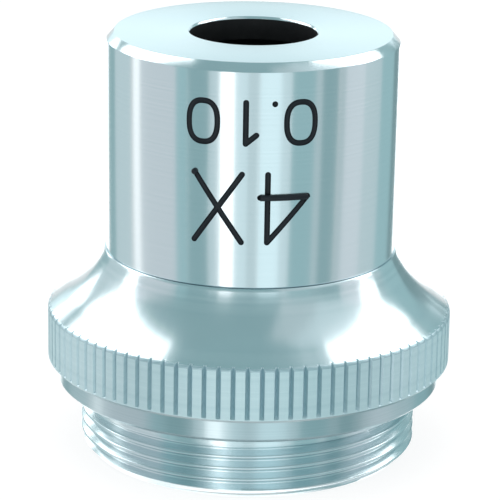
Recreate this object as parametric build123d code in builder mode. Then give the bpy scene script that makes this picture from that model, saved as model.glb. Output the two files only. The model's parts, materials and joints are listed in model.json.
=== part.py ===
import math
import os

from build123d import *

# Microscope objective, low power, in millimetres.
# The optical axis is Z. The end face of the mounting thread lies on Z = 0,
# and the front face, which looks at the specimen, is the highest face.

# Mounting thread, RMS, drawn at its major diameter
thread_radius = 10.137
thread_length = 4.05
thread_chamfer = 0.64

# Flange ring, whose lower face is the shoulder that locates the objective
flange_radius = 11.5
flange_height = 1.45
flange_edge = 0.25

# Straight-knurled grip
knurl_radius = 12.137
knurl_height = 3.18
groove_count = 92
groove_depth = 0.2
groove_width = 0.28
groove_end_land = 0.22

# Flare between the grip and the barrel: a short cone, then a hollow curve. Angles are from the axis
flare_height = 3.72
flare_cone_angle = 53.3
flare_cone_length = 1.33
flare_top_angle = 23.5
seam_step = 0.1

# Barrel and its threaded spigot
barrel_radius = 8.65
barrel_height = 13.15
barrel_edge = 0.47
front_wall = 1.4
front_hole_radius = 3.745
front_hole_edge = 0.12
seat_width = 1.25
spigot_length = 3.0
spigot_wall = 1.12

# Clearances
thread_clearance = 0.03
slip_clearance = 0.03
end_clearance = 0.1

# Rear bore of the mount and the ledge that the lens cell is drawn against
rear_wall = 1.937
cell_ledge = 0.7

# Cemented doublet: the flint element faces the specimen
lens_radius = 5.2
crown_radius_outer = 17.8
cement_radius = 14.0
flint_radius_outer = 92.6
crown_thickness = 3.0
flint_thickness = 1.5

# Lens cell
cell_lip = 0.5
lip_overlap = 0.85
stop_recess_depth = 1.3
stop_seat_step = 0.35
ring_seat_depth = 1.0

# Rings in the cell and behind it
retaining_ring_width = 0.65
retaining_ring_overlap = 0.6
retaining_ring_height = 0.85
stop_thickness = 0.25
stop_hole_radius = 3.9
stop_ring_height = 0.7
stop_ring_width = 0.87
lock_ring_height = 0.85
lock_ring_setback = 0.4
shim_width = 1.62
thick_shim = 0.2
thin_shim = 0.1

# Baffle stack in the barrel
baffle_thickness = 0.4
baffle_width = 2.02
spacer_wall = 0.52
front_spacer_length = 5.5
rear_spacer_length = 5.3
baffle_ring_height = 1.1
baffle_ring_width = 1.25

# Spanner slots, two in each screwed ring
slot_width = 0.8
slot_depth_share = 0.5

# Heights that follow from the sizes above
shoulder_z = thread_length
knurl_bottom_z = shoulder_z + flange_height
knurl_top_z = knurl_bottom_z + knurl_height
seam_z = knurl_top_z + flare_height
front_z = seam_z + barrel_height
front_wall_z = front_z - front_wall
spigot_end_z = seam_z - spigot_length
socket_floor_z = spigot_end_z - end_clearance
ledge_z = socket_floor_z - cell_ledge
flare_top_radius = barrel_radius + seam_step

# Radii that follow from the sizes above
rear_bore_radius = thread_radius - rear_wall
cell_radius = rear_bore_radius - slip_clearance
spigot_radius = barrel_radius - seat_width
socket_radius = spigot_radius + thread_clearance
barrel_bore_radius = spigot_radius - spigot_wall
stack_radius = barrel_bore_radius - slip_clearance
baffle_hole_radius = stack_radius - baffle_width


def turned(*points):
    """Closed outline of (radius, height) points on the XZ plane, to be revolved about Z."""
    with BuildSketch(Plane.XZ) as outline:
        with BuildLine():
            Polyline(*points, close=True)
        make_face()
    return outline.sketch


def ring_outline(outer, inner, low, high):
    """Rectangular section of a plain ring."""
    return turned((inner, low), (outer, low), (outer, high), (inner, high))


def slot_outline(height, outer, inner):
    """Two spanner slots that run right across a ring, as flat outlines at one height."""
    with BuildSketch(Plane.XY.offset(height)) as slots:
        with PolarLocations((outer + inner) / 2, 2):
            Rectangle(2 * (outer - inner), slot_width)
    return slots.sketch


def inward(angle):
    """Direction on the XZ plane that rises and closes in on the axis, at an angle to it in degrees."""
    return (-math.sin(math.radians(angle)), math.cos(math.radians(angle)))


def sag(curve, radius):
    """Depth of a spherical surface at a distance from its axis."""
    return curve - math.sqrt(curve**2 - radius**2)


# Mount base: flange, grip, flare and mounting thread turned from one bar
cone_slope = inward(flare_cone_angle)
cone_top = (
    knurl_radius + flare_cone_length * cone_slope[0],
    knurl_top_z + flare_cone_length * cone_slope[1],
)
with BuildPart() as groove_cutter:
    with BuildSketch(Plane.XY.offset(knurl_bottom_z + groove_end_land)):
        with BuildLine():
            Polyline(
                (knurl_radius - groove_depth, 0),
                (knurl_radius + groove_depth, groove_width),
                (knurl_radius + groove_depth, -groove_width),
                close=True,
            )
        make_face()
    extrude(amount=knurl_height + flare_height)

with BuildPart() as mount_base:
    with BuildSketch(Plane.XZ):
        with BuildLine():
            Polyline(
                (flare_top_radius, seam_z),
                (socket_radius, seam_z),
                (socket_radius, socket_floor_z),
                (barrel_bore_radius, socket_floor_z),
                (barrel_bore_radius, ledge_z),
                (rear_bore_radius, ledge_z),
                (rear_bore_radius, 0),
                (thread_radius - thread_chamfer, 0),
                (thread_radius, thread_chamfer),
                (thread_radius, shoulder_z),
                (flange_radius - flange_edge, shoulder_z),
                (flange_radius, shoulder_z + flange_edge),
                (flange_radius, knurl_bottom_z),
                (knurl_radius, knurl_bottom_z),
                (knurl_radius, knurl_top_z),
                cone_top,
            )
            Spline(
                cone_top,
                (flare_top_radius, seam_z),
                tangents=(cone_slope, inward(flare_top_angle)),
            )
        make_face()
    revolve(axis=Axis.Z)
    with PolarLocations(0, groove_count):
        add(groove_cutter.part, mode=Mode.SUBTRACT)
mount_base.part.label = "mount_base"

# Barrel: nose with the front opening, and the spigot that screws into the mount
with BuildPart() as barrel:
    revolve(
        turned(
            (front_hole_radius, front_wall_z),
            (front_hole_radius, front_z - front_hole_edge),
            (front_hole_radius + front_hole_edge, front_z),
            (barrel_radius - barrel_edge, front_z),
            (barrel_radius, front_z - barrel_edge),
            (barrel_radius, seam_z),
            (spigot_radius, seam_z),
            (spigot_radius, spigot_end_z),
            (barrel_bore_radius, spigot_end_z),
            (barrel_bore_radius, front_wall_z),
        ),
        axis=Axis.Z,
    )
barrel.part.label = "barrel"

# Baffle stack, seated against the inside of the front wall
spacer_radius = stack_radius - spacer_wall
front_spacer_z = front_wall_z - front_spacer_length
front_baffle_z = front_spacer_z - baffle_thickness
rear_spacer_z = front_baffle_z - rear_spacer_length
rear_baffle_z = rear_spacer_z - baffle_thickness
baffle_ring_z = rear_baffle_z - baffle_ring_height

with BuildPart() as baffle_spacer_front:
    revolve(ring_outline(stack_radius, spacer_radius, front_spacer_z, front_wall_z), axis=Axis.Z)
baffle_spacer_front.part.label = "baffle_spacer_front"

with BuildPart() as baffle_front:
    revolve(ring_outline(stack_radius, baffle_hole_radius, front_baffle_z, front_spacer_z), axis=Axis.Z)
baffle_front.part.label = "baffle_front"

with BuildPart() as baffle_spacer_rear:
    revolve(ring_outline(stack_radius, spacer_radius, rear_spacer_z, front_baffle_z), axis=Axis.Z)
baffle_spacer_rear.part.label = "baffle_spacer_rear"

with BuildPart() as baffle_rear:
    revolve(ring_outline(stack_radius, baffle_hole_radius, rear_baffle_z, rear_spacer_z), axis=Axis.Z)
baffle_rear.part.label = "baffle_rear"

with BuildPart() as baffle_lock_ring:
    ring_inner = stack_radius - baffle_ring_width
    revolve(ring_outline(stack_radius, ring_inner, baffle_ring_z, rear_baffle_z), axis=Axis.Z)
    extrude(
        slot_outline(baffle_ring_z, stack_radius, ring_inner),
        amount=baffle_ring_height * slot_depth_share,
        mode=Mode.SUBTRACT,
    )
baffle_lock_ring.part.label = "baffle_lock_ring"

# Lens cell, drawn against the ledge through two shims
cell_front_z = ledge_z - thin_shim - thick_shim
stop_seat_z = cell_front_z - stop_recess_depth
lip_z = stop_seat_z - cell_lip
lens_bore_radius = lens_radius + slip_clearance
lip_radius = lens_radius - lip_overlap
stop_seat_radius = lens_bore_radius + stop_seat_step
ring_seat_radius = lens_bore_radius + retaining_ring_width

# Lens vertices: the flint rests on the inner edge of the cell's lip
flint_vertex_z = lip_z + sag(flint_radius_outer, lip_radius)
cement_vertex_z = flint_vertex_z - flint_thickness
crown_vertex_z = cement_vertex_z - crown_thickness
retaining_inner_radius = lens_radius - retaining_ring_overlap
retaining_top_z = crown_vertex_z + sag(crown_radius_outer, retaining_inner_radius)
cell_rear_z = retaining_top_z - ring_seat_depth

with BuildPart() as lens_cell:
    revolve(
        turned(
            (lip_radius, lip_z),
            (lens_bore_radius, lip_z),
            (lens_bore_radius, retaining_top_z),
            (ring_seat_radius, retaining_top_z),
            (ring_seat_radius, cell_rear_z),
            (cell_radius, cell_rear_z),
            (cell_radius, cell_front_z),
            (stop_seat_radius, cell_front_z),
            (stop_seat_radius, stop_seat_z),
            (lip_radius, stop_seat_z),
        ),
        axis=Axis.Z,
    )
lens_cell.part.label = "lens_cell"

# Each element is a glass cylinder cut by its two spherical surfaces. The spheres lie on
# their side, which keeps their poles and seams off the lens
lens_blank_height = flint_vertex_z - crown_vertex_z
on_side = (90, 0, 0)

with BuildPart() as flint_lens:
    with Locations((0, 0, (flint_vertex_z + crown_vertex_z) / 2)):
        Cylinder(lens_radius, lens_blank_height)
    with Locations((0, 0, flint_vertex_z - flint_radius_outer)):
        Sphere(flint_radius_outer, rotation=on_side, mode=Mode.INTERSECT)
    with Locations((0, 0, cement_vertex_z - cement_radius)):
        Sphere(cement_radius, rotation=on_side, mode=Mode.SUBTRACT)
flint_lens.part.label = "flint_lens"

with BuildPart() as crown_lens:
    with Locations((0, 0, (flint_vertex_z + crown_vertex_z) / 2)):
        Cylinder(lens_radius, lens_blank_height)
    with Locations((0, 0, crown_vertex_z + crown_radius_outer)):
        Sphere(crown_radius_outer, rotation=on_side, mode=Mode.INTERSECT)
    with Locations((0, 0, cement_vertex_z - cement_radius)):
        Sphere(cement_radius, rotation=on_side, mode=Mode.INTERSECT)
crown_lens.part.label = "crown_lens"

with BuildPart() as lens_retaining_ring:
    ring_outer = ring_seat_radius - thread_clearance
    ring_low = retaining_top_z - retaining_ring_height
    revolve(ring_outline(ring_outer, retaining_inner_radius, ring_low, retaining_top_z), axis=Axis.Z)
    extrude(
        slot_outline(ring_low, ring_outer, retaining_inner_radius),
        amount=retaining_ring_height * slot_depth_share,
        mode=Mode.SUBTRACT,
    )
lens_retaining_ring.part.label = "lens_retaining_ring"

with BuildPart() as aperture_stop:
    stop_outer = stop_seat_radius - slip_clearance
    stop_top = stop_seat_z + stop_thickness
    revolve(ring_outline(stop_outer, stop_hole_radius, stop_seat_z, stop_top), axis=Axis.Z)
aperture_stop.part.label = "aperture_stop"

with BuildPart() as stop_lock_ring:
    ring_outer = stop_seat_radius - thread_clearance
    ring_inner = ring_outer - stop_ring_width
    ring_high = stop_top + stop_ring_height
    revolve(ring_outline(ring_outer, ring_inner, stop_top, ring_high), axis=Axis.Z)
    extrude(
        slot_outline(ring_high, ring_outer, ring_inner),
        amount=-stop_ring_height * slot_depth_share,
        mode=Mode.SUBTRACT,
    )
stop_lock_ring.part.label = "stop_lock_ring"

# Shims that set the focus height, between the ledge and the cell
shim_inner_radius = cell_radius - shim_width
shim_split_z = cell_front_z + thick_shim

with BuildPart() as parfocal_shim_thick:
    revolve(ring_outline(cell_radius, shim_inner_radius, cell_front_z, shim_split_z), axis=Axis.Z)
parfocal_shim_thick.part.label = "parfocal_shim_thick"

with BuildPart() as parfocal_shim_thin:
    revolve(ring_outline(cell_radius, shim_inner_radius, shim_split_z, ledge_z), axis=Axis.Z)
parfocal_shim_thin.part.label = "parfocal_shim_thin"

with BuildPart() as cell_lock_ring:
    ring_outer = rear_bore_radius - thread_clearance
    ring_inner = ring_seat_radius + lock_ring_setback
    ring_low = cell_rear_z - lock_ring_height
    revolve(ring_outline(ring_outer, ring_inner, ring_low, cell_rear_z), axis=Axis.Z)
    extrude(
        slot_outline(ring_low, ring_outer, ring_inner),
        amount=lock_ring_height * slot_depth_share,
        mode=Mode.SUBTRACT,
    )
cell_lock_ring.part.label = "cell_lock_ring"

os.makedirs("parts", exist_ok=True)
export_step(mount_base.part, "parts/mount_base.step")
export_step(barrel.part, "parts/barrel.step")
export_step(baffle_spacer_front.part, "parts/baffle_spacer_front.step")
export_step(baffle_front.part, "parts/baffle_front.step")
export_step(baffle_spacer_rear.part, "parts/baffle_spacer_rear.step")
export_step(baffle_rear.part, "parts/baffle_rear.step")
export_step(baffle_lock_ring.part, "parts/baffle_lock_ring.step")
export_step(lens_cell.part, "parts/lens_cell.step")
export_step(flint_lens.part, "parts/flint_lens.step")
export_step(crown_lens.part, "parts/crown_lens.step")
export_step(lens_retaining_ring.part, "parts/lens_retaining_ring.step")
export_step(aperture_stop.part, "parts/aperture_stop.step")
export_step(stop_lock_ring.part, "parts/stop_lock_ring.step")
export_step(parfocal_shim_thick.part, "parts/parfocal_shim_thick.step")
export_step(parfocal_shim_thin.part, "parts/parfocal_shim_thin.step")
export_step(cell_lock_ring.part, "parts/cell_lock_ring.step")
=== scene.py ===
# %% [markdown]
# A low-power microscope objective, dressed for a studio picture.
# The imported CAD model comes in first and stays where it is. Its lenses, cell, stop and baffles are
# shown as they are. The two polished metal pieces are modelled again here with many more steps
# round the axis, because a mirror finish shows every facet, and they stand in for the CAD ones.

import json
import math

import bmesh
import bpy
from mathutils import Matrix, Vector

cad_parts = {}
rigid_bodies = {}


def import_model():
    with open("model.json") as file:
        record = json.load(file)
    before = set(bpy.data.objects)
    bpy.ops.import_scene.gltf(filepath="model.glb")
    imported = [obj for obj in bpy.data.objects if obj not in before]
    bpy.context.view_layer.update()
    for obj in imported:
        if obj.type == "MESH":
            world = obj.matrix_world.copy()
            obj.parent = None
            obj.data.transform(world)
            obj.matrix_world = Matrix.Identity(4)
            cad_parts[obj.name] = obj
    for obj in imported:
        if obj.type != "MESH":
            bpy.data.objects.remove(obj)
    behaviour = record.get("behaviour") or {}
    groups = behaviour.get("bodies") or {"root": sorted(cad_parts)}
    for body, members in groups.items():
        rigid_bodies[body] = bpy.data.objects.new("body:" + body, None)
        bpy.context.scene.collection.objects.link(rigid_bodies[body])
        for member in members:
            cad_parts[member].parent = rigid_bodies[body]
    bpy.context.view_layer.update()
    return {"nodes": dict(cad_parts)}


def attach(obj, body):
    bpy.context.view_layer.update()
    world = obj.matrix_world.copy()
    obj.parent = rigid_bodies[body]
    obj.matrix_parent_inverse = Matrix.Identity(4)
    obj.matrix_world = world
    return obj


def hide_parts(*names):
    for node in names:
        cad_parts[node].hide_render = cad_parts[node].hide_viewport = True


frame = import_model()
print("CAD nodes:", ", ".join(sorted(frame["nodes"])))

# %% [markdown]
# Blender works in metres, and a machinist thinks of this part in millimetres. One factor turns
# every named size below into metres at the moment a vertex is made.

# %% Sizes of the mount, in millimetres
MM = 0.001

thread_radius = 10.137
thread_length = 4.05
thread_pitch = 25.4 / 36
thread_chamfer = 0.64
crest_height_at_front = 1.26
neck_height = 3.05
neck_fade = 0.3

# A thread form of 55 degrees has its rounding and its depth as fixed shares of the pitch.
thread_flank_angle = 27.5
thread_round = 0.1373 * thread_pitch
thread_depth = 0.6403 * thread_pitch
thread_root_radius = thread_radius - thread_depth

flange_radius = 11.5
flange_edge = 0.25
knurl_radius = 12.137
knurl_bottom = 5.5
knurl_top = 8.68
knurl_chamfer = 0.17
flute_count = 92
flute_depth = 0.2
flute_width = 0.28
flute_start = 5.72

flare_cone_angle = 53.3
flare_cone_length = 1.33
flare_top_angle = 23.5
flare_corner = 0.3
flare_top_radius = 8.75
seam_height = 12.4

socket_radius = 7.43
socket_floor = 9.3
ledge_height = 8.6
rear_bore = 8.2
print(f"Mount: {2 * knurl_radius:.2f} mm across, seam at {seam_height:.2f} mm")

# %% Sizes of the barrel, in millimetres
barrel_radius = 8.65
barrel_bore = 6.28
barrel_chamfer = 0.47
front_height = 25.55
front_wall_height = 24.15
hole_radius = 3.745
hole_chamfer = 0.12
spigot_radius = 7.4
spigot_end = 9.4
seam_bevel = 0.07
print(f"Barrel: {2 * barrel_radius:.2f} mm across, its front at {front_height:.2f} mm")

# %% [markdown]
# Every metal piece of an objective comes off a lathe. Such a piece could be stacked from
# cylinders and cones, but then each joint between them has to be merged. Here it starts as half
# of its section, as on a workshop drawing: the corner points are joined up, a vertex bevel softens
# them as a fine file would, and the section is spun about the axis.

# %% Helpers for turned pieces
edge_softness = 0.06
same_point = 0.002
cut_tolerance = 1e-7


def section(corners, softness=edge_softness):
    """A bmesh that holds one closed section, given as (radius, height) corners."""
    bm = bmesh.new()
    points = [bm.verts.new((radius * MM, 0, height * MM)) for radius, height in corners]
    for point, following in zip(points, points[1:] + points[:1]):
        bm.edges.new((point, following))
    if softness:
        bmesh.ops.bevel(
            bm,
            geom=points,
            offset=softness * MM,
            offset_type="OFFSET",
            affect="VERTICES",
            segments=3,
            profile=0.5,
            material=-1,
        )
    return bm


def everything(bm):
    """All that a bmesh holds, as its operators want it."""
    return bm.verts[:] + bm.edges[:] + bm.faces[:]


def spin_round(bm, angle, steps, geom=None, climb=0, merge=False, duplicate=False):
    """Sweeps the given points and edges, or the whole mesh, about the axis."""
    bmesh.ops.spin(
        bm,
        geom=geom or everything(bm),
        cent=(0, 0, 0),
        axis=(0, 0, 1),
        dvec=(0, 0, climb),
        angle=angle,
        steps=steps,
        use_merge=merge,
        use_duplicate=duplicate,
    )


def cut_level(bm, height, keep_above):
    """Cuts a mesh at a height in metres, and keeps what is above the cut or below it."""
    bmesh.ops.bisect_plane(
        bm,
        geom=everything(bm),
        dist=cut_tolerance,
        plane_co=(0, 0, height),
        plane_no=(0, 0, 1),
        clear_outer=not keep_above,
        clear_inner=keep_above,
    )


def radius_of(point):
    """Distance from the axis."""
    return math.hypot(point.x, point.y)


def angle_of(point):
    """Angle round the axis."""
    return math.atan2(point.y, point.x)


print("Corners are softened by", edge_softness, "mm")


# %% Helpers that turn a bmesh into an object
def mesh_object(bm, name, materials):
    """Makes a scene object of a bmesh, and lets the bmesh go."""
    mesh = bpy.data.meshes.new(name)
    bm.to_mesh(mesh)
    bm.free()
    for material in materials:
        mesh.materials.append(material)
    thing = bpy.data.objects.new(name, mesh)
    bpy.context.scene.collection.objects.link(thing)
    return thing


def finish_mesh(bm, name, materials, crease=28):
    """Merges doubles, turns the faces outwards, keeps the sharp corners sharp and makes the piece."""
    bmesh.ops.remove_doubles(bm, verts=bm.verts, dist=same_point * MM)
    bmesh.ops.recalc_face_normals(bm, faces=bm.faces)
    for face in bm.faces:
        face.smooth = True
    for edge in bm.edges:
        edge.smooth = edge.calc_face_angle(0) < math.radians(crease)
    piece = mesh_object(bm, name, materials)
    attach(piece, "root")
    print(name, len(piece.data.vertices), "vertices,", len(piece.data.polygons), "faces")
    return piece


# %% [markdown]
# The finish comes next. Turned steel has rings of very fine tool marks. They blur a reflection
# along the axis and leave it crisp round the axis, so upright bands of light run the whole
# height of the barrel. Real grooves that fine would take millions of faces. In Blender the
# Anisotropic value of the Principled shader does it, turned by a quarter so that it stretches
# the reflections across the tool marks. A noise along the section gives the marks their tone.

# %% Node group: rings of tool marks
def turning_marks_group():
    """Rings left by the tool: bands that change with height and with distance from the axis."""
    group = bpy.data.node_groups.new("turning_marks", "ShaderNodeTree")
    for name, kind, value in (
        ("Vector", "NodeSocketVector", None),
        ("Rings per metre", "NodeSocketFloat", 9000.0),
        ("Light", "NodeSocketColor", (0.7, 0.7, 0.7, 1)),
        ("Dark", "NodeSocketColor", (0.6, 0.6, 0.6, 1)),
    ):
        socket = group.interface.new_socket(name, in_out="INPUT", socket_type=kind)
        if value is not None:
            socket.default_value = value
    group.interface.new_socket("Color", in_out="OUTPUT", socket_type="NodeSocketColor")
    group.interface.new_socket("Height", in_out="OUTPUT", socket_type="NodeSocketFloat")
    nodes, links = group.nodes, group.links
    inside, outside = nodes.new("NodeGroupInput"), nodes.new("NodeGroupOutput")
    split = nodes.new("ShaderNodeSeparateXYZ")
    links.new(inside.outputs["Vector"], split.inputs["Vector"])
    flat = nodes.new("ShaderNodeCombineXYZ")
    links.new(split.outputs["X"], flat.inputs["X"])
    links.new(split.outputs["Y"], flat.inputs["Y"])
    reach = nodes.new("ShaderNodeVectorMath")
    reach.operation = "LENGTH"
    links.new(flat.outputs["Vector"], reach.inputs[0])
    along = nodes.new("ShaderNodeMath")
    along.operation = "ADD"
    links.new(reach.outputs["Value"], along.inputs[0])
    links.new(split.outputs["Z"], along.inputs[1])
    place = nodes.new("ShaderNodeMath")
    place.operation = "MULTIPLY"
    links.new(along.outputs["Value"], place.inputs[0])
    links.new(inside.outputs["Rings per metre"], place.inputs[1])
    rings = nodes.new("ShaderNodeTexNoise")
    rings.noise_dimensions = "1D"
    rings.inputs["Scale"].default_value = 1.0
    rings.inputs["Detail"].default_value = 3.0
    links.new(place.outputs["Value"], rings.inputs["W"])
    tone = nodes.new("ShaderNodeMix")
    tone.data_type = "RGBA"
    links.new(rings.outputs["Fac"], tone.inputs["Factor"])
    links.new(inside.outputs["Dark"], tone.inputs["A"])
    links.new(inside.outputs["Light"], tone.inputs["B"])
    links.new(tone.outputs["Result"], outside.inputs["Color"])
    links.new(rings.outputs["Fac"], outside.inputs["Height"])
    return group


turning_marks = turning_marks_group()
print("Group:", turning_marks.name)

# %% Helpers for materials
tool_mark_depth = 0.01
quarter_turn = 0.25


def empty_material(name, shader_kind, shader_output):
    """A node material that holds one shader and its output."""
    material = bpy.data.materials.new(name)
    material.use_nodes = True
    nodes = material.node_tree.nodes
    nodes.clear()
    shader = nodes.new(shader_kind)
    output = nodes.new("ShaderNodeOutputMaterial")
    material.node_tree.links.new(shader.outputs[shader_output], output.inputs["Surface"])
    return material, shader


def turned_metal(name, light, dark, roughness, anisotropy, rings, bump):
    """Bright turned metal with its rings of tool marks."""
    material, shader = empty_material(name, "ShaderNodeBsdfPrincipled", "BSDF")
    nodes, links = material.node_tree.nodes, material.node_tree.links
    place = nodes.new("ShaderNodeTexCoord")
    marks = nodes.new("ShaderNodeGroup")
    marks.node_tree = turning_marks
    marks.inputs["Rings per metre"].default_value = rings
    marks.inputs["Light"].default_value = (*light, 1)
    marks.inputs["Dark"].default_value = (*dark, 1)
    links.new(place.outputs["Object"], marks.inputs["Vector"])
    relief = nodes.new("ShaderNodeBump")
    relief.inputs["Strength"].default_value = bump
    relief.inputs["Distance"].default_value = tool_mark_depth * MM
    links.new(marks.outputs["Height"], relief.inputs["Height"])
    links.new(marks.outputs["Color"], shader.inputs["Base Color"])
    links.new(relief.outputs["Normal"], shader.inputs["Normal"])
    shader.inputs["Metallic"].default_value = 1.0
    shader.inputs["Roughness"].default_value = roughness
    shader.inputs["Anisotropic"].default_value = anisotropy
    shader.inputs["Anisotropic Rotation"].default_value = quarter_turn
    return material


def mottle_base_colour(material, shader, scale, first, second):
    """Lets the base colour drift between two tones over the piece."""
    nodes, links = material.node_tree.nodes, material.node_tree.links
    place = nodes.new("ShaderNodeTexCoord")
    mottle = nodes.new("ShaderNodeTexNoise")
    mottle.inputs["Scale"].default_value = scale
    links.new(place.outputs["Object"], mottle.inputs["Vector"])
    tone = nodes.new("ShaderNodeMix")
    tone.data_type = "RGBA"
    tone.inputs["A"].default_value = (*first, 1)
    tone.inputs["B"].default_value = (*second, 1)
    links.new(mottle.outputs["Fac"], tone.inputs["Factor"])
    links.new(tone.outputs["Result"], shader.inputs["Base Color"])


def black_finish(name, light, dark, roughness):
    """Black oxide or paint with a faint mottle and little shine."""
    material, shader = empty_material(name, "ShaderNodeBsdfPrincipled", "BSDF")
    mottle_base_colour(material, shader, scale=1500.0, first=dark, second=light)
    shader.inputs["Roughness"].default_value = roughness
    shader.inputs["Specular IOR Level"].default_value = 0.25
    return material


def coated_glass(name, tint, index):
    """Optical glass whose faint coating colour drifts across the lens."""
    material, shader = empty_material(name, "ShaderNodeBsdfPrincipled", "BSDF")
    mottle_base_colour(material, shader, scale=200.0, first=(1, 1, 1), second=tint)
    shader.inputs["Roughness"].default_value = 0.0
    shader.inputs["Transmission Weight"].default_value = 1.0
    shader.inputs["IOR"].default_value = index
    return material


# %% The finishes
# A metal has its tone between the tool marks and in them, its roughness, how far it stretches a
# reflection, its tool marks per metre and how much relief they have. A black finish has its two
# tones and its roughness, and a glass has its tint and its refractive index.
metals = {
    name: turned_metal(name, *values)
    for name, values in {
        "bright_steel": ((0.75, 0.82, 0.85), (0.68, 0.77, 0.8), 0.2, 0.9, 9000, 0.12),
        "flare_steel": ((0.75, 0.82, 0.85), (0.64, 0.74, 0.77), 0.2, 0.8, 7000, 0.2),
        "thread_steel": ((0.72, 0.81, 0.84), (0.6, 0.71, 0.74), 0.22, 0.6, 9000, 0.1),
        # The flange steel is the mount's own steel with a darker base colour: painted shade on the
        # flange and the other faces below the grip.
        "flange_steel_painted_shade": ((0.58, 0.68, 0.71), (0.48, 0.59, 0.62), 0.28, 0.85, 9000, 0.1),
        # The grip steel is rougher, as a knurl is, and its lighter base colour is painted light on
        # the knurl's lands.
        "grip_steel_painted_light": ((0.8, 0.91, 0.93), (0.64, 0.78, 0.81), 0.62, 0.0, 3000, 0.1),
        # The flute steel is the same steel, darker: painted shade in the flutes.
        "flute_steel_painted_shade": ((0.6, 0.72, 0.76), (0.46, 0.59, 0.63), 0.45, 0.0, 3000, 0.1),
        "shim_brass": ((0.8, 0.6, 0.3), (0.7, 0.5, 0.24), 0.3, 0.0, 4000, 0.05),
    }.items()
}
bore_black = black_finish("bore_black", (0.02, 0.022, 0.024), (0.008, 0.009, 0.01), 0.5)
ring_black = black_finish("ring_black", (0.03, 0.032, 0.034), (0.014, 0.015, 0.016), 0.42)
mark_black = black_finish("mark_black", (0.016, 0.022, 0.03), (0.004, 0.006, 0.009), 0.4)
crown_clear = coated_glass("crown_clear", (0.97, 0.98, 1.0), 1.517)
flint_clear = coated_glass("flint_clear", (0.98, 1.0, 0.98), 1.62)
print("Materials:", len(bpy.data.materials))

# %% [markdown]
# The mount is the wide lower piece: a flange, a fluted grip and a hollow flare up to the barrel.
# Its flutes repeat 92 times. Cutting them with 92 Boolean tools would be slow and leave ragged
# faces, so only one flute and the land beside it are modelled. Their wedge of the section is spun
# in small steps, every vertex that stands proud of the flute's floor is drawn in towards the axis,
# and the wedge is then repeated round the ring. The flute's floor runs straight on while the cone
# above falls away from it, which leaves the pointed tips that a real cutter leaves.


# %% Helpers for the lines of a section
def curve_between(start, end, start_angle, end_angle, pieces):
    """Points of a smooth curve that leaves and arrives at set angles from the axis."""
    reach = math.dist(start, end) / 3
    first = (
        start[0] - reach * math.sin(math.radians(start_angle)),
        start[1] + reach * math.cos(math.radians(start_angle)),
    )
    second = (
        end[0] + reach * math.sin(math.radians(end_angle)),
        end[1] - reach * math.cos(math.radians(end_angle)),
    )
    controls = (start, first, second, end)
    points = []
    for step in range(pieces + 1):
        t = step / pieces
        weights = ((1 - t) ** 3, 3 * t * (1 - t) ** 2, 3 * t**2 * (1 - t), t**3)
        points.append(tuple(sum(w * p[axis] for w, p in zip(weights, controls)) for axis in (0, 1)))
    return points


def ladder(start, end, pieces):
    """Evenly spaced points from start to end."""
    return [
        tuple(a + (b - a) * step / pieces for a, b in zip(start, end))
        for step in range(pieces + 1)
    ]


def rounded_corner(corner, before, after, radius, pieces):
    """Points of an arc that rounds one corner of a section."""
    corner, before, after = Vector(corner), Vector(before), Vector(after)
    incoming, outgoing = (before - corner).normalized(), (after - corner).normalized()
    half = incoming.angle(outgoing) / 2
    centre = corner + (incoming + outgoing).normalized() * radius / math.sin(half)
    start = corner + incoming * radius / math.tan(half) - centre
    turn = math.pi - 2 * half
    side = 1 if incoming.cross(outgoing) < 0 else -1
    return [
        tuple(centre + Matrix.Rotation(side * turn * step / pieces, 2) @ start)
        for step in range(pieces + 1)
    ]


# %% Section of the mount above its thread
small_break = 0.04
shoulder_break = 0.02
thread_overlap = 0.05

cone_drop = math.radians(flare_cone_angle)
cone_top = (
    knurl_radius - flare_cone_length * math.sin(cone_drop),
    knurl_top + flare_cone_length * math.cos(cone_drop),
)
flare_top = (flare_top_radius, seam_height - small_break)
grip_corner = rounded_corner(
    (knurl_radius, knurl_top), (knurl_radius, 0), cone_top, radius=flare_corner, pieces=5
)
mount_corners = [
    (socket_radius, seam_height),
    (socket_radius, socket_floor),
    (barrel_bore, socket_floor),
    (barrel_bore, ledge_height),
    (rear_bore, ledge_height),
    (rear_bore, thread_length - thread_overlap),
    (thread_root_radius, thread_length - thread_overlap),
    (thread_root_radius, thread_length),
    (flange_radius - flange_edge - edge_softness, thread_length),
    (flange_radius - flange_edge, thread_length + shoulder_break),
    (flange_radius, thread_length + flange_edge),
    (flange_radius, knurl_bottom - small_break),
    (flange_radius + small_break, knurl_bottom),
    (knurl_radius - knurl_chamfer, knurl_bottom),
    (knurl_radius, knurl_bottom + knurl_chamfer),
    *ladder((knurl_radius, flute_start), (knurl_radius, flute_start + flute_depth), pieces=4),
    *grip_corner,
    *ladder(grip_corner[-1], cone_top, pieces=10)[1:-1],
    *curve_between(cone_top, flare_top, flare_cone_angle, flare_top_angle, pieces=24),
    (flare_top_radius - small_break, seam_height),
]
print("Section points:", len(mount_corners))

# %% Wedge with one flute, then the whole mount
flute_steps = 6
land_steps = 2
same_angle = 1e-5
pitch_angle = 2 * math.pi / flute_count
flute_angle = 2 * math.atan(flute_width / 2 / knurl_radius)
land_angle = pitch_angle - flute_angle


def flute_floor(angle, height):
    """Distance from the axis to the flute's floor at an angle from the flute's first edge."""
    if not 0 < angle < flute_angle:
        return knurl_radius
    across = abs(2 * angle / flute_angle - 1)
    return knurl_radius - min(flute_depth * (1 - across), max(height - flute_start, 0))


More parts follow.
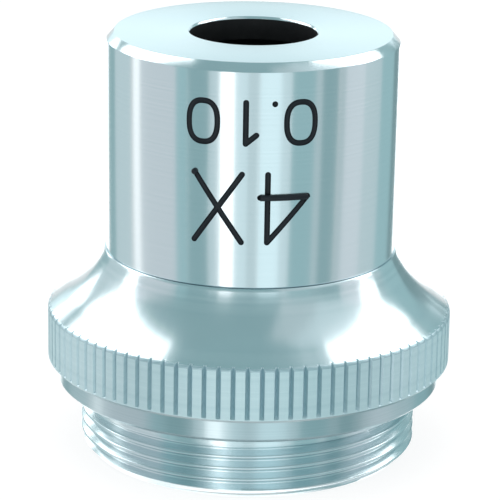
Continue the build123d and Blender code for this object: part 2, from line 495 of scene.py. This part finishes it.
bm = section(mount_corners, softness=0)
spin_round(bm, flute_angle, flute_steps)
for vertex in bm.verts:
    deepest = flute_floor(angle_of(vertex.co), vertex.co.z / MM) * MM
    reach = radius_of(vertex.co)
    if vertex.co.z > flute_start * MM and reach > deepest:
        vertex.co.xy *= deepest / reach
land_points = [point for point in bm.verts if abs(angle_of(point.co) - flute_angle) < same_angle]
land_edges = [edge for edge in bm.edges if all(point in land_points for point in edge.verts)]
spin_round(bm, land_angle, land_steps, geom=land_points + land_edges)
spin_round(bm, pitch_angle * (flute_count - 1), flute_count - 1, duplicate=True)
front_turn = Matrix.Rotation(-math.pi / 2 - flute_angle / 2, 4, "Z")
bmesh.ops.rotate(bm, verts=bm.verts, cent=(0, 0, 0), matrix=front_turn)
mount_finishes = ["flange_steel_painted_shade", "flare_steel", "grip_steel_painted_light", "flute_steel_painted_shade"]
mount = finish_mesh(bm, "mount_grip_and_flare", [metals[name] for name in mount_finishes])

# %% Give each face of the mount its finish, with painted shade below the grip and in the flutes, and painted light on the lands
side_lean = 0.62
land_play = 0.008
grip_play = 0.01
# Faces below the grip take the darker steel, painted shade; the lands take the lighter steel, painted
# light; the flute walls take the darker flute steel, painted shade.
for face in mount.data.polygons:
    height, reach = face.center.z / MM, radius_of(face.center) / MM
    above_chamfer = height > knurl_bottom + knurl_chamfer
    in_grip = above_chamfer and reach > knurl_radius - flute_depth - grip_play
    finish = "flare_steel" if height > knurl_top else "flange_steel_painted_shade"
    if in_grip and math.hypot(face.normal.x, face.normal.y) > side_lean:
        finish = "grip_steel_painted_light" if reach > knurl_radius - land_play else "flute_steel_painted_shade"
    face.material_index = mount_finishes.index(finish)
for number, name in enumerate(mount_finishes):
    print(name, sum(1 for face in mount.data.polygons if face.material_index == number), "faces")

# %% [markdown]
# The mounting thread has 36 turns to the inch and a 55 degree form with round crests and roots.
# A Screw modifier on a curve could make it, but the spin operator climbs too, and leaves a mesh
# that can be cut at once. The outline is a row of teeth. Spun once round the axis while it climbs
# by one pitch, the row meets itself one tooth higher, so the seam closes. The row starts below the
# piece and ends above it, and two cuts trim it. A cone then takes the crests off the first turn,
# and the last turn runs out into a plain neck below the shoulder.


# %% Outline of the thread
def tooth(height):
    """One round crest and one round root above it, as (radius, height) points."""
    sweep = math.radians(90 - thread_flank_angle)
    crest_centre = thread_radius - thread_round
    root_centre = thread_root_radius + thread_round
    root_height = height + thread_pitch / 2
    leans = [share * sweep for share in (-1, -0.5, 0, 0.5, 1)]
    crest = [
        (crest_centre + thread_round * math.cos(lean), height + thread_round * math.sin(lean))
        for lean in leans
    ]
    root = [
        (root_centre - thread_round * math.cos(lean), root_height + thread_round * math.sin(lean))
        for lean in leans
    ]
    return crest + root


tooth_count = 10
teeth_below = 4
lowest_crest = crest_height_at_front - teeth_below * thread_pitch
outline = [
    point for turn in range(tooth_count) for point in tooth(lowest_crest + turn * thread_pitch)
]
print("Thread outline points:", len(outline))

# %% Spin the thread, trim it, and let it run out
thread_steps = 368
bm = bmesh.new()
row = [bm.verts.new((0, -radius * MM, height * MM)) for radius, height in outline]
for point, following in zip(row, row[1:]):
    bm.edges.new((point, following))
spin_round(bm, 2 * math.pi, thread_steps, climb=thread_pitch * MM / thread_steps)
bmesh.ops.remove_doubles(bm, verts=bm.verts, dist=same_point * MM)
cut_level(bm, 0, keep_above=True)
cut_level(bm, (thread_length + thread_overlap) * MM, keep_above=False)
for vertex in bm.verts:
    reach, height = radius_of(vertex.co), vertex.co.z / MM
    cone = (thread_radius - thread_chamfer + max(height, 0)) * MM
    if reach > cone:
        vertex.co.xy *= cone / reach
    else:
        filled = min(max((height - neck_height) / neck_fade, 0), 1)
        vertex.co.xy *= 1 + filled * (thread_radius * MM / reach - 1)
print("Thread points:", len(bm.verts))

# %% Close the thread into a ring with its bore
rims = {}
for edge in bm.edges:
    if edge.is_boundary:
        rims.setdefault(edge.verts[0].co.z > MM, []).append(edge)
for edges in rims.values():
    for part in bmesh.ops.extrude_edge_only(bm, edges=edges)["geom"]:
        if isinstance(part, bmesh.types.BMVert):
            part.co.xy *= rear_bore * MM / radius_of(part.co)
bmesh.ops.bridge_loops(bm, edges=[edge for edge in bm.edges if edge.is_boundary])
thread = finish_mesh(bm, "mount_thread", [metals["thread_steel"]], crease=40)

# %% [markdown]
# The barrel is a plain tube with a pierced front wall, and it screws into the mount with a short
# spigot. One section holds all of it, so the bore and the front wall can't drift apart. Where it
# meets the flare a narrow bevel makes the fine dark line of the joint. Its inside is blackened.

# %% Barrel
barrel_steps = 480
bore_play = 0.02
rim_play = 0.01
barrel_corners = [
    (hole_radius, front_wall_height),
    (hole_radius, front_height - hole_chamfer),
    (hole_radius + hole_chamfer, front_height),
    (barrel_radius - barrel_chamfer, front_height),
    (barrel_radius, front_height - barrel_chamfer),
    (barrel_radius, seam_height + seam_bevel),
    (barrel_radius - seam_bevel, seam_height),
    (spigot_radius, seam_height),
    (spigot_radius, spigot_end),
    (barrel_bore, spigot_end),
    (barrel_bore, front_wall_height),
]
bm = section(barrel_corners, softness=0.03)
spin_round(bm, 2 * math.pi, barrel_steps, merge=True)
barrel_finishes = [metals["bright_steel"], bore_black, mark_black]
barrel = finish_mesh(bm, "barrel_turned", barrel_finishes)
for face in barrel.data.polygons:
    height, reach = face.center.z / MM, radius_of(face.center) / MM
    in_bore = spigot_end + bore_play < height < front_height - hole_chamfer - rim_play
    if in_bore and reach < barrel_bore + bore_play:
        face.material_index = barrel_finishes.index(bore_black)

# %% [markdown]
# The marking is engraved with a single round-nosed cutter and filled with black. It reads upside
# down here, as on objectives that hang from a nosepiece. It could be painted on as a texture, but
# a real cut has a rim that catches the light. Each stroke is a line of points in the marking's
# own plane, in millimetres. It becomes a round bar, is wrapped round the barrel, and a Boolean
# modifier cuts it out. The cut takes the bar's black material with it, and its rim stays a sharp
# edge, so the polished wall round it keeps its own smooth shading.

# %% Strokes of the marking
stroke_half_width = 0.17
stroke_cut = 0.12
bar_radius = (stroke_half_width**2 + stroke_cut**2) / (2 * stroke_cut)
bar_height = bar_radius - stroke_cut


def oval(across, height, half_width, half_height, squareness=2.5, pieces=48):
    """Closed line of points round a slightly squared oval."""
    points = []
    for step in range(pieces):
        angle = 2 * math.pi * step / pieces
        c, s = math.cos(angle), math.sin(angle)
        points.append(
            (
                across + half_width * math.copysign(abs(c) ** (2 / squareness), c),
                height + half_height * math.copysign(abs(s) ** (2 / squareness), s),
            )
        )
    return points


number_low = 20.97
number_high = 23.35
number_middle = (number_low + number_high) / 2
number_half = (number_high - number_low) / 2
zero_half_width = 0.84
zero_place = 2.81
point_place = 1.28
point_low = number_high - 0.08
point_high = number_high - 0.07
one_stem = -0.35
one_flag = (0.25, number_low + 0.5)

power_low = 15.18
power_high = 19.18
four_stem = 0.95
four_bar = power_high - 1.35
four_tip = (3.27, four_bar)
four_tail = (0.52, four_bar)
cross_right = -0.52
cross_left = -3.27

# Each stroke has its points and says whether it closes on itself.
marking = [
    (oval(zero_place, number_middle, zero_half_width, number_half), True),
    ([(point_place, point_low), (point_place, point_high)], False),
    ([(one_stem, number_low), (one_stem, number_high)], False),
    ([(one_stem, number_low), one_flag], False),
    (oval(-zero_place, number_middle, zero_half_width, number_half), True),
    ([(four_stem, power_high), (four_stem, power_low)], False),
    ([(four_stem, power_low), four_tip], False),
    ([four_tip, four_tail], False),
    ([(cross_right, power_low), (cross_left, power_high)], False),
    ([(cross_left, power_low), (cross_right, power_high)], False),
]
print("Strokes:", len(marking))

# %% Cutters for the strokes
bar_step = 0.2
bar_same_point = 0.001
ball_excess = 1.001


def wrapped(across, height, outward=0):
    """A place in the marking's plane, laid round the barrel, with all lengths in metres."""
    turn = across / (barrel_radius * MM) - math.pi / 2
    reach = (barrel_radius + bar_height) * MM + outward
    return Vector((reach * math.cos(turn), reach * math.sin(turn), height))


def round_bar(points, closed):
    """A bmesh of a round bar along a flat line of points."""
    curve = bpy.data.curves.new("stroke", "CURVE")
    curve.dimensions = "3D"
    curve.bevel_depth = bar_radius * MM
    curve.bevel_resolution = 6
    curve.use_fill_caps = True
    spline = curve.splines.new("POLY")
    line = points[:1]
    for start, end in zip(points, points[1:] + (points[:1] if closed else [])):
        count = max(1, math.ceil(math.dist(start, end) / bar_step))
        line += ladder(start, end, count)[1:]
    if closed:
        line.pop()
    spline.points.add(len(line) - 1)
    for point, (across, height) in zip(spline.points, line):
        point.co = (across * MM, height * MM, 0, 1)
    spline.use_cyclic_u = closed
    holder = bpy.data.objects.new("stroke", curve)
    bar = bmesh.new()
    bar.from_mesh(holder.to_mesh())
    holder.to_mesh_clear()
    bpy.data.objects.remove(holder)
    bpy.data.curves.remove(curve)
    return bar


def engraving_bar(points, closed):
    """A cutter for one stroke, wrapped round the barrel."""
    bar = round_bar(points, closed)
    bmesh.ops.remove_doubles(bar, verts=bar.verts, dist=bar_same_point * MM)
    for vertex in bar.verts:
        vertex.co = wrapped(vertex.co.x, vertex.co.y, vertex.co.z)
    bmesh.ops.recalc_face_normals(bar, faces=bar.faces)
    return mesh_object(bar, "stroke", [mark_black])


def engraving_ball(across, height):
    """A cutter that rounds the end of a stroke. It is a hair wider than the bar."""
    ball = bmesh.new()
    bmesh.ops.create_icosphere(ball, subdivisions=3, radius=bar_radius * ball_excess * MM)
    bmesh.ops.translate(ball, verts=ball.verts, vec=wrapped(across * MM, height * MM))
    return mesh_object(ball, "stroke_end", [mark_black])


cutters = []
for points, closed in marking:
    cutters.append(engraving_bar(points, closed))
    if not closed:
        cutters += [engraving_ball(*point) for point in points]
print("Cutters:", len(cutters))

# %% Cut the strokes into the barrel
for cutter in cutters:
    cut = barrel.modifiers.new("engrave", "BOOLEAN")
    cut.operation = "DIFFERENCE"
    cut.solver = "EXACT"
    cut.material_mode = "TRANSFER"
    cut.object = cutter
engraved = barrel.evaluated_get(bpy.context.evaluated_depsgraph_get())
cut_mesh = bpy.data.meshes.new_from_object(engraved)
barrel.modifiers.clear()
bm = bmesh.new()
bm.from_mesh(cut_mesh)
bmesh.ops.triangulate(bm, faces=[face for face in bm.faces if len(face.verts) > 4])
for edge in bm.edges:
    if len({face.material_index for face in edge.link_faces}) > 1:
        edge.smooth = False
bm.to_mesh(cut_mesh)
bm.free()
barrel.data = cut_mesh
for cutter in cutters:
    bpy.data.objects.remove(cutter)
print("Barrel after engraving:", len(cut_mesh.polygons), "faces")

# %% [markdown]
# The new pieces take the places of the CAD mount and barrel. Everything inside could be modelled
# again too, but it hardly shows and its facets are fine enough, so it keeps its CAD shape: black
# rings and baffles, brass shims and the two cemented glass elements.

# %% Hand over from the CAD nodes and finish the inner pieces
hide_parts("mount_base")
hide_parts("mount_base")
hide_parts("barrel")

finishes = {
    "crown_lens": crown_clear,
    "flint_lens": flint_clear,
    "parfocal_shim_thick": metals["shim_brass"],
    "parfocal_shim_thin": metals["shim_brass"],
    "mount_base": metals["bright_steel"],
    "barrel": metals["bright_steel"],
}
for name, node in frame["nodes"].items():
    node.data.materials.clear()
    node.data.materials.append(finishes.get(name, ring_black))
print("CAD nodes with a finish:", len(frame["nodes"]))

# %% [markdown]
# The studio is a white floor and a white world. The camera, mirrors and glass all see that
# white. The floor is left out of reflections and is clear from below, so that it never hides the
# object. It could be lit until it turns white, but that would wash out the metal as well. So it
# glows by itself, and a grey of its own takes the object's faint shadow. The world, too, lights
# the object a little less than it shows.

# %% Floor
floor_size = 3.0
floor_gap = 0.02
floor_grey = 0.3
floor_level = 0.82

bm = bmesh.new()
bmesh.ops.create_grid(bm, x_segments=1, y_segments=1, size=floor_size)
floor_material, floor_mix = empty_material("white_floor", "ShaderNodeMixShader", "Shader")
nodes, links = floor_material.node_tree.nodes, floor_material.node_tree.links
paint = nodes.new("ShaderNodeBsdfDiffuse")
paint.inputs["Color"].default_value = (floor_grey, floor_grey, floor_grey, 1)
glow = nodes.new("ShaderNodeEmission")
glow.inputs["Strength"].default_value = floor_level
both = nodes.new("ShaderNodeAddShader")
links.new(paint.outputs["BSDF"], both.inputs[0])
links.new(glow.outputs["Emission"], both.inputs[1])
side = nodes.new("ShaderNodeNewGeometry")
clear = nodes.new("ShaderNodeBsdfTransparent")
links.new(side.outputs["Backfacing"], floor_mix.inputs["Fac"])
links.new(both.outputs["Shader"], floor_mix.inputs[1])
links.new(clear.outputs["BSDF"], floor_mix.inputs[2])
floor = mesh_object(bm, "floor", [floor_material])
floor.location.z = -floor_gap * MM
floor.visible_glossy = False
floor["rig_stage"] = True
print("Floor:", 2 * floor_size, "m wide")

# %% World
world_level_seen = 1.0
world_level_lit = 0.75

world = bpy.data.worlds.new("white_studio")
bpy.context.scene.world = world
world.use_nodes = True
nodes, links = world.node_tree.nodes, world.node_tree.links
nodes.clear()
path = nodes.new("ShaderNodeLightPath")
seen = nodes.new("ShaderNodeMath")
seen.operation = "MAXIMUM"
links.new(path.outputs["Is Camera Ray"], seen.inputs[0])
links.new(path.outputs["Is Glossy Ray"], seen.inputs[1])
seen_or_through = nodes.new("ShaderNodeMath")
seen_or_through.operation = "MAXIMUM"
links.new(seen.outputs["Value"], seen_or_through.inputs[0])
links.new(path.outputs["Is Transmission Ray"], seen_or_through.inputs[1])
level = nodes.new("ShaderNodeMix")
level.data_type = "FLOAT"
level.inputs["A"].default_value = world_level_lit
level.inputs["B"].default_value = world_level_seen
links.new(seen_or_through.outputs["Value"], level.inputs["Factor"])
sky = nodes.new("ShaderNodeBackground")
links.new(level.outputs["Result"], sky.inputs["Strength"])
output = nodes.new("ShaderNodeOutputWorld")
links.new(sky.outputs["Background"], output.inputs["Surface"])
print("World:", world.name)

# %% [markdown]
# Polished steel shows mostly its surroundings, so plain cards stand round the object as they
# would on a product table: bright boxes of light, and pale grey screens that draw the darker
# bands. A picture of a real studio could do that, but cards can be set one by one. Each card is a
# strip of a large upright ring round the object. Its place is an azimuth, measured from the
# camera's side and positive to the right, and two elevations. Such numbers come from thinking
# backwards: a patch on the metal at angle a from the front shows the studio at about twice that
# angle. A grey tent stands behind all the cards, because the white world between them would
# bleach the metal. Cards and tent are seen in reflections only.

# %% Helpers for cards
card_distance = 0.5
grip_level = 0.012
degrees_per_step = 4


def seen_in_metal_only(thing):
    """Lets a studio piece show in reflections and nowhere else."""
    thing.visible_camera = False
    thing.visible_diffuse = False
    thing.visible_transmission = False
    thing.visible_volume_scatter = False
    thing.visible_shadow = False
    thing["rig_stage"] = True


def glowing(name, colour, strength):
    """Paint for a card: a plain glow."""
    material, glow = empty_material(name, "ShaderNodeEmission", "Emission")
    glow.inputs["Color"].default_value = (*colour, 1)
    glow.inputs["Strength"].default_value = strength
    return material


def card(name, middle, width, low, high, colour, strength):
    """A curved strip of card, seen in reflections only."""
    bm = bmesh.new()
    start = math.radians(middle - width / 2 - 90)
    ends = []
    for elevation in (low, high):
        rise = card_distance * math.tan(math.radians(elevation))
        place = (card_distance * math.cos(start), card_distance * math.sin(start), grip_level + rise)
        ends.append(bm.verts.new(place))
    edge = bm.edges.new(ends)
    steps = max(2, int(width / degrees_per_step))
    spin_round(bm, math.radians(width), steps, geom=ends + [edge])
    seen_in_metal_only(mesh_object(bm, name, [glowing(name, colour, strength)]))


# %% Cards
# Each has its name, the azimuth of its middle, its width, its lower and upper elevation, all in
# degrees, its colour and its strength.
white = (1, 1, 1)
pale = (0.82, 0.97, 1)
teal = (0.64, 0.96, 1)
lilac = (0.9, 0.96, 1)
foot = -60
for card_values in (
    ("front_sky", -32, 116, 33, 74, teal, 0.47),
    ("right_sky", 42, 32, 33, 74, pale, 0.68),
    ("far_right_sky", 76, 36, 33, 74, pale, 0.85),
    ("front_box", -19, 11, foot, 33, white, 1.8),
    ("front_left_edge", -29, 8, foot, 30, pale, 0.8),
    ("front_gap", -8, 10, foot, 30, pale, 0.98),
    ("front_middle", 1, 8, foot, 30, pale, 0.8),
    ("front_fill", 14, 17, foot, 33, pale, 1.15),
    ("front_right_edge", 26, 8, foot, 30, pale, 0.9),
    ("left_screen", -42, 17, foot, 35, teal, 0.5),
    ("left_panel", -56, 10, foot, 35, teal, 0.62),
    ("left_wall", -78, 36, foot, 33, lilac, 0.76),
    ("left_strip", -101, 8, foot, 12, white, 1.3),
    ("right_screen", 40, 19, foot, 35, teal, 0.58),
    ("right_strip", 52, 6, foot, 20, pale, 0.68),
    ("right_dark", 62, 14, foot, 35, teal, 0.48),
    ("right_panel", 73, 6, foot, 14, pale, 0.64),
    ("right_wall", 86, 20, foot, 33, lilac, 0.82),
    ("right_far_wall", 107, 22, foot, 12, pale, 0.72),
    ("left_box", -118, 38, 23, 66, white, 3.0),
    ("left_box_foot", -102, 15, 14, 23, white, 2.4),
    ("right_box", 116, 36, 27, 66, white, 3.0),
    ("right_box_foot", 102, 17, 14, 27, white, 2.4),
    ("left_rear", -122, 28, foot, 22, pale, 0.74),
    ("left_corner", -143, 18, foot, 5, teal, 0.5),
    ("left_slit", -144, 12, 6, 20, white, 2.6),
    ("right_rear", 130, 24, foot, 26, teal, 0.6),
    ("right_corner", 150, 18, foot, 12, teal, 0.36),
    ("rear_wall", 180, 60, 5, 34, pale, 1.2),
    ("rear_table", 180, 50, -70, -5, white, 1.9),
):
    card(*card_values)
staged = [thing.name for thing in bpy.context.scene.objects if thing.get("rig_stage")]
print("Floor and cards:", len(staged))

# %% Grey tent
tent_radius = 1.8
tent_rim = 0.1
tent_level = 0.5

bm = bmesh.new()
bmesh.ops.create_uvsphere(bm, u_segments=48, v_segments=24, radius=tent_radius)
cut_level(bm, tent_rim, keep_above=True)
tent = mesh_object(bm, "grey_tent", [glowing("grey_tent", teal, tent_level)])
seen_in_metal_only(tent)
print("Tent:", 2 * tent_radius, "m wide")

# %% [markdown]
# Cards light only the metal, so the black insides need a lamp of their own. A small lamp would
# draw hard edges. One soft disk from above and in front gives them a little shape and lays a
# faint shadow on the floor.


# %% Lamp
def soft_lamp(name, place, size, power):
    """A round area lamp that looks at the object's foot and doesn't show in the metal."""
    lamp = bpy.data.lights.new(name, "AREA")
    lamp.shape = "DISK"
    lamp.size = size
    lamp.energy = power
    thing = bpy.data.objects.new(name, lamp)
    thing.location = place
    thing.rotation_mode = "QUATERNION"
    thing.rotation_quaternion = (-Vector(place)).to_track_quat("-Z", "Y")
    thing.visible_glossy = False
    bpy.context.scene.collection.objects.link(thing)
    return thing


lamp = soft_lamp("high_lamp", place=(-0.05, -0.12, 0.6), size=0.5, power=1.0)
print("Lamp:", lamp.name, f"{lamp.data.energy:.1f} W")

# %% [markdown]
# The camera stands where the picture's own perspective puts it: about 156 mm in front of the axis,
# looking down by 17 degrees through a long lens, and turned by one degree. A nearer camera with a
# wider lens would show more of the top face and pinch the thread.

# %% Camera
camera_distance = 156.2
camera_height = 60.7
camera_pitch = 17.3
camera_roll = 0.97

camera_data = bpy.data.cameras.new("camera")
camera_data.sensor_width = 36
camera_data.lens = 195.8
camera_data.clip_start = 0.01
camera_data.clip_end = 10
camera = bpy.data.objects.new("camera", camera_data)
look_down = Matrix.Rotation(math.radians(90 - camera_pitch), 4, "X")
roll = Matrix.Rotation(math.radians(camera_roll), 4, "Z")
camera.rotation_mode = "QUATERNION"
camera.rotation_quaternion = (look_down @ roll).to_quaternion()
camera.location = (0, -camera_distance * MM, camera_height * MM)
bpy.context.scene.collection.objects.link(camera)
bpy.context.scene.camera = camera
bpy.context.scene.view_settings.view_transform = "Standard"
print("Camera lens:", camera_data.lens)
